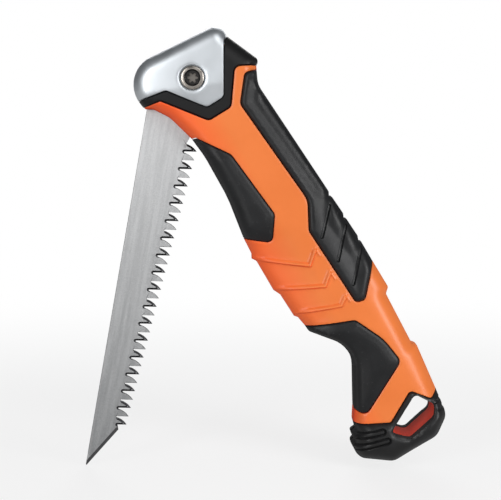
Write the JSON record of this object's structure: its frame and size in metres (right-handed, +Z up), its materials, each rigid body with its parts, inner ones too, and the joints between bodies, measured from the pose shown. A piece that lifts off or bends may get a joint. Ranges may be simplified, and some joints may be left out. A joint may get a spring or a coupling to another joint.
{
  "type": "folding jab saw",
  "caption": "Folding jab saw with a stiff toothed blade that swings out of a two-shell handle and locks open.",
  "frame": {"origin": "centre of the bounding box at its base: the ground under the blade's point and the butt", "axes": "+X from the blade towards the handle, +Y from the front shell to the rear shell, +Z up"},
  "size_m": [0.1694, 0.029, 0.2043],
  "materials": {
    "brushed_steel": "brushed along the blade",
    "orange_plastic": "finely textured moulding",
    "satin_cast": "satin cast metal",
    "black_plastic": "smooth satin",
    "black_rubber": "matte overmould",
    "fastener_steel": "satin nickel",
    "bronze": "plain"
  },
  "bodies": {
    "handle": {"front_shell": "orange_plastic", "rear_shell": "orange_plastic", "front_bolster": "satin_cast", "rear_bolster": "satin_cast", "front_head_band": "black_plastic", "rear_head_band": "black_plastic", "front_back_grip": "black_rubber", "rear_back_grip": "black_rubber", "front_belly_grip": "black_rubber", "rear_belly_grip": "black_rubber", "front_finger_grip": "black_rubber", "rear_finger_grip": "black_rubber", "front_butt_boot": "black_rubber", "rear_butt_boot": "black_rubber", "pivot_screw": "fastener_steel", "pivot_sleeve": "fastener_steel", "front_washer": "bronze", "rear_washer": "bronze", "stop_pin": "fastener_steel", "lock_pin": "fastener_steel", "lock_spring": "fastener_steel", "shell_screw_1": "fastener_steel", "shell_screw_2": "fastener_steel", "shell_screw_3": "fastener_steel", "shell_screw_4": "fastener_steel"},
    "blade_body": {"blade": "brushed_steel"},
    "lever": {"lock_lever": "fastener_steel"}
  },
  "joints": [
    {"name": "blade_pivot", "type": "hinge", "parent": "handle", "child": "blade_body", "pos_m": [-0.03278, 0, 0.18137], "axis": [0, 1, 0], "range_deg": [-43.6, 136.4]},
    {"name": "lock_release", "type": "hinge", "parent": "handle", "child": "lever", "pos_m": [-0.00657, 0, 0.17277], "axis": [0, 1, 0], "range_deg": [0, 8], "stiffness_Nm_per_rad": 0.2, "springref_deg": -17.19, "deforming": ["lock_spring"]}
  ]
}
